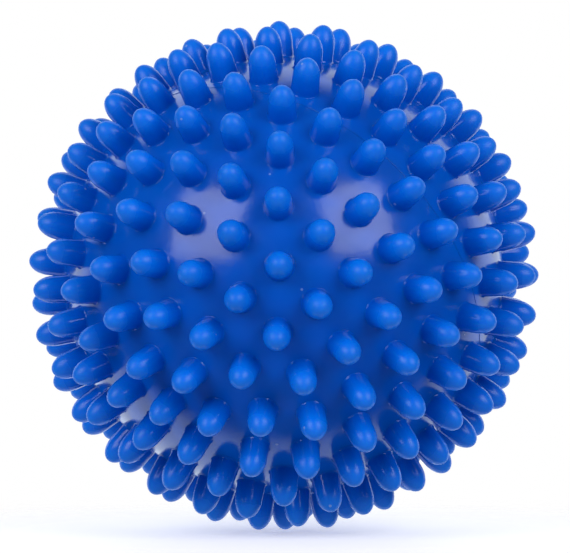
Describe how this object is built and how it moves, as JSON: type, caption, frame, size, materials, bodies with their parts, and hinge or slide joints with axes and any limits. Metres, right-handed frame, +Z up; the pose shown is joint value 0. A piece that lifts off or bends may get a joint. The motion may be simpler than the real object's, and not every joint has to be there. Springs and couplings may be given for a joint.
{
  "type": "massage ball",
  "caption": "Hollow soft plastic ball covered in rounded nubs, rolled by hand or foot to massage muscles, with a pull-out air stopper in its valve.",
  "frame": {"origin": "centre of the ball, which is the centre of its bounding box", "axes": "+Y out of the valve, along the way the plug pulls out; +Z up and +X right as the ball is seen from its -Y side with the valve behind"},
  "size_m": [0.0898, 0.0891, 0.0898],
  "materials": {
    "ball_vinyl": "satin moulded soft PVC, saturated blue, slightly translucent at the nub tips",
    "seat_vinyl": "satin moulded soft PVC, blue",
    "plug_vinyl": "satin moulded soft PVC, blue"
  },
  "bodies": {
    "ball": {"ball_skin": "ball_vinyl", "valve_seat": "seat_vinyl"},
    "stopper": {"valve_plug": "plug_vinyl"}
  },
  "joints": [
    {"name": "plug_pull", "type": "slide", "parent": "ball", "child": "stopper", "axis": [0, 1, 0], "range_m": [0, 0.02]}
  ]
}
